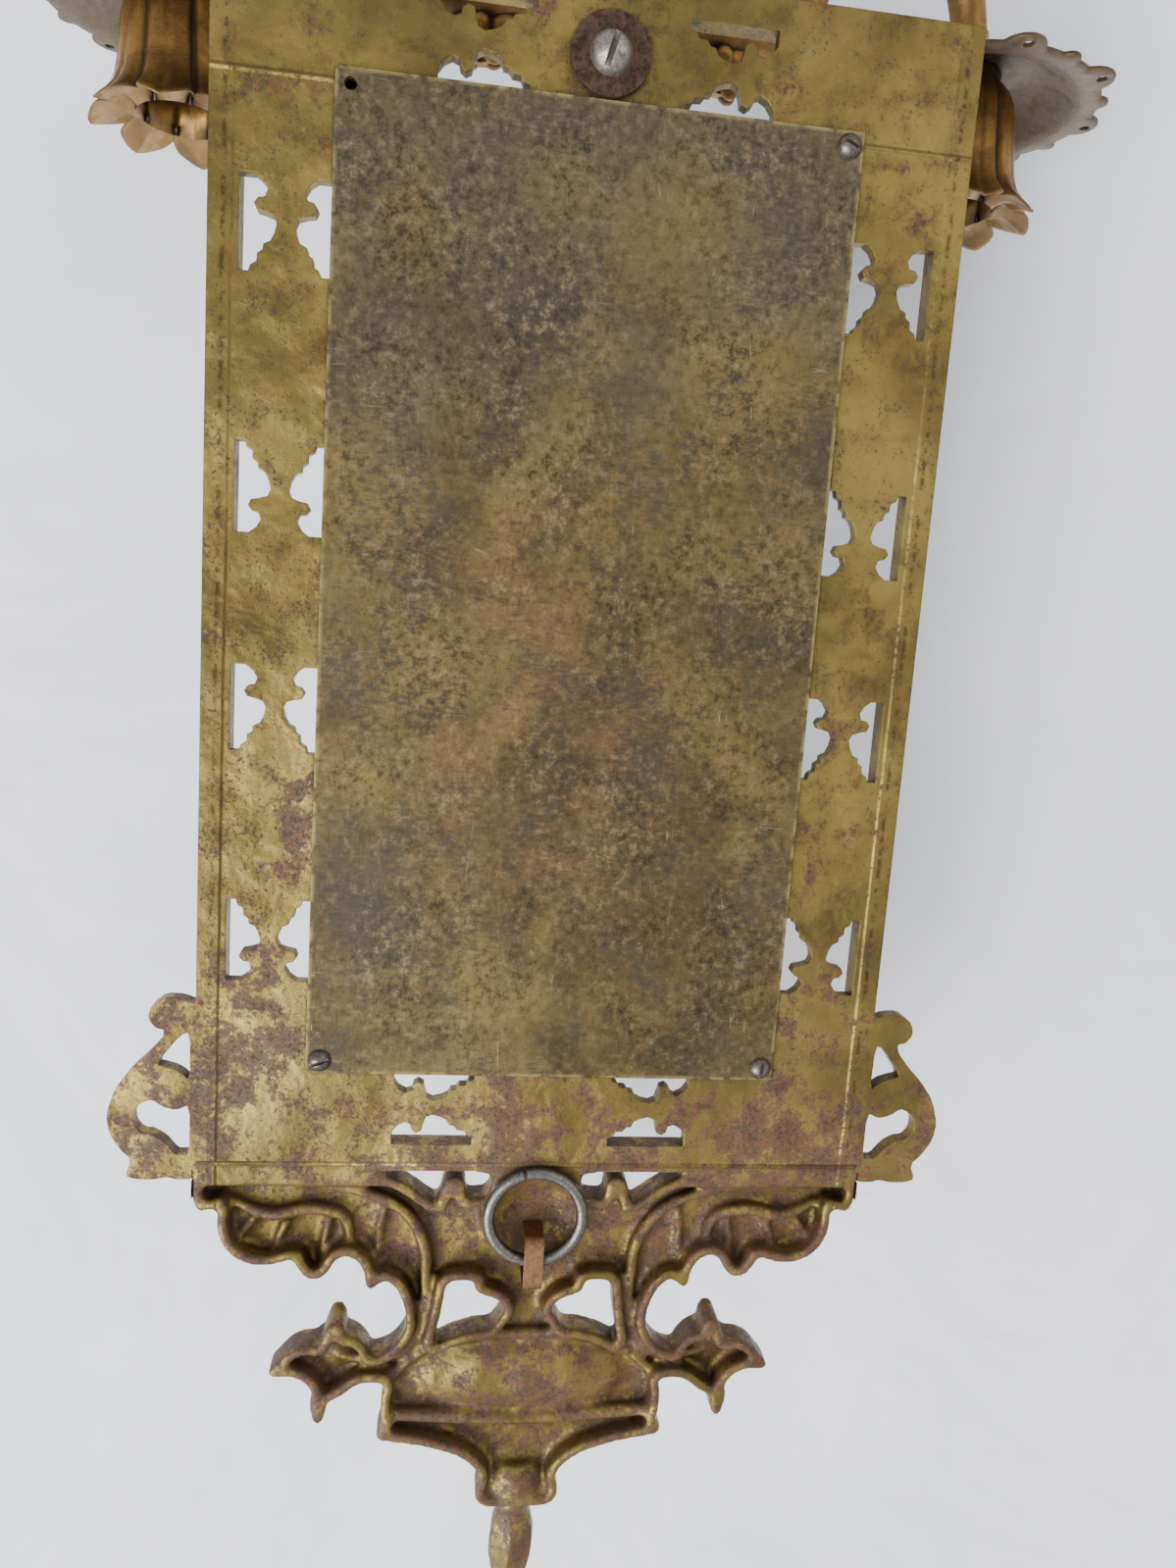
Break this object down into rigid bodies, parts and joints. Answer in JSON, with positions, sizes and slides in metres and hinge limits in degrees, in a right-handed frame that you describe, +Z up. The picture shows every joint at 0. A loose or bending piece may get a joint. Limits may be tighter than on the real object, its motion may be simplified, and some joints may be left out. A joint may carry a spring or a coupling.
{
  "type": "wall sconce candle holder",
  "caption": "Wall sconce with a pierced brass mirror frame, scroll ears and urn crest, and curved arms with candle cups and drip pans.",
  "frame": {"origin": "hinge line of the hanging ring, inside its strap, on the sconce's middle plane", "axes": "+Z up, -Y out of the front towards the room, +X to the right of someone who looks along +Y at the front"},
  "size_m": [0.269, 0.0924, 0.4392],
  "materials": {
    "cast_brass": "aged, mottled",
    "mirror": "silvered",
    "board": "matt",
    "plate_sheet": "worn",
    "steel": "dull",
    "bright_steel": "satin",
    "rusty_steel": "rusty",
    "gilt_brass": "gilded, dusty",
    "ring_steel": "dull",
    "copper_strip": "worn"
  },
  "bodies": {
    "sconce": {"frame": "cast_brass", "mirror_glass": "mirror", "backing_board": "board", "back_plate": "plate_sheet", "plate_screw_upper_left": "steel", "plate_screw_upper_right": "steel", "plate_screw_lower_right": "steel", "arm_screw": "bright_steel", "arm_washer": "rusty_steel", "front_rosette": "gilt_brass", "left_arm": "gilt_brass", "right_arm": "gilt_brass", "left_pan_collar": "gilt_brass", "right_pan_collar": "gilt_brass", "left_drip_pan": "gilt_brass", "right_drip_pan": "gilt_brass", "left_candle_cup": "gilt_brass", "right_candle_cup": "gilt_brass", "left_cup_screw": "steel", "right_cup_screw": "steel", "ring_strap": "copper_strip"},
    "ring": {"hanging_ring": "ring_steel"}
  },
  "joints": [
    {"name": "ring_swing", "type": "hinge", "parent": "sconce", "child": "ring", "pos_m": [0, 0, 0], "axis": [1, 0, 0], "range_deg": [0, 180]}
  ]
}
